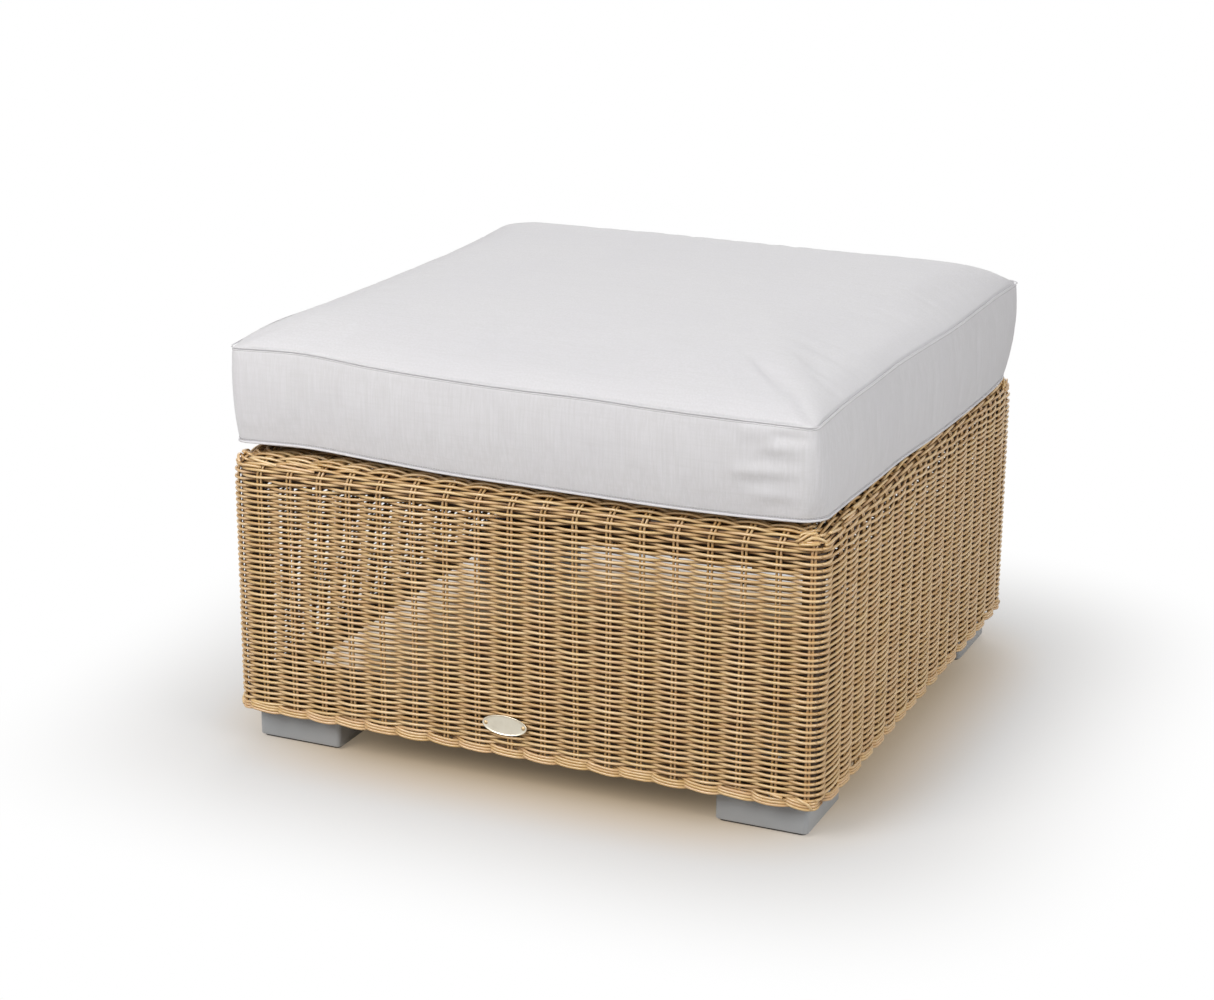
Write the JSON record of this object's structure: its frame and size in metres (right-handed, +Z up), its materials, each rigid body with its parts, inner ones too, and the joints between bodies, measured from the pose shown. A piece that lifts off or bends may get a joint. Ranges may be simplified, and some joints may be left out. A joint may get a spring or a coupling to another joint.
{
  "type": "outdoor ottoman footstool",
  "caption": "Square outdoor footstool: a hollow body woven from round strands over an aluminium tube frame, on block feet, with a loose box cushion.",
  "frame": {"origin": "on the floor, under the middle of the body", "axes": "+Z up, the front with the oval plate looks along -Y, +X to the right seen from the front"},
  "size_m": [0.658, 0.66, 0.4453],
  "materials": {
    "frame": "powder coated, satin dark brown",
    "foot": "powder coated, satin grey",
    "steel": "stainless, satin",
    "glide": "moulded, matte black",
    "strand": "round extruded strand, satin natural cane tone",
    "plate": "pressed plate, bare, satin cream silver",
    "rivet": "domed, satin",
    "cover_fabric": "plain woven outdoor fabric, off-white",
    "foam": "open-cell foam",
    "zip_tape": "woven tape with a moulded coil, pale grey"
  },
  "bodies": {
    "base": {"corner_post_front_left": "frame", "corner_post_front_right": "frame", "corner_post_rear_right": "frame", "corner_post_rear_left": "frame", "top_rail_front": "frame", "top_rail_right": "frame", "top_rail_rear": "frame", "top_rail_left": "frame", "bottom_rail_front": "frame", "bottom_rail_right": "frame", "bottom_rail_rear": "frame", "bottom_rail_left": "frame", "deck_slat_1": "frame", "deck_slat_2": "frame", "deck_slat_3": "frame", "mounting_plate_front_left": "frame", "mounting_plate_front_right": "frame", "mounting_plate_rear_right": "frame", "mounting_plate_rear_left": "frame", "foot_front_left": "foot", "foot_front_right": "foot", "foot_rear_right": "foot", "foot_rear_left": "foot", "foot_bolt_front_left": "steel", "foot_bolt_front_right": "steel", "foot_bolt_rear_right": "steel", "foot_bolt_rear_left": "steel", "glide_front_left": "glide", "glide_front_right": "glide", "glide_rear_right": "glide", "glide_rear_left": "glide", "woven_front": "strand", "woven_right": "strand", "woven_rear": "strand", "woven_left": "strand", "woven_deck": "strand", "oval_plate": "plate", "plate_rivet_left": "rivet", "plate_rivet_right": "rivet"},
    "cushion": {"cushion_cover": "cover_fabric", "foam_core": "foam", "zip_tape": "zip_tape"},
    "zip_runner": {"zip_slider": "steel"}
  },
  "joints": [
    {"name": "cushion_lift", "type": "slide", "parent": "base", "child": "cushion", "axis": [0, 0, 1], "range_m": [0, 0.3]},
    {"name": "zip_slide", "type": "slide", "parent": "cushion", "child": "zip_runner", "axis": [-1, 0, 0], "range_m": [0, 0.455]}
  ]
}
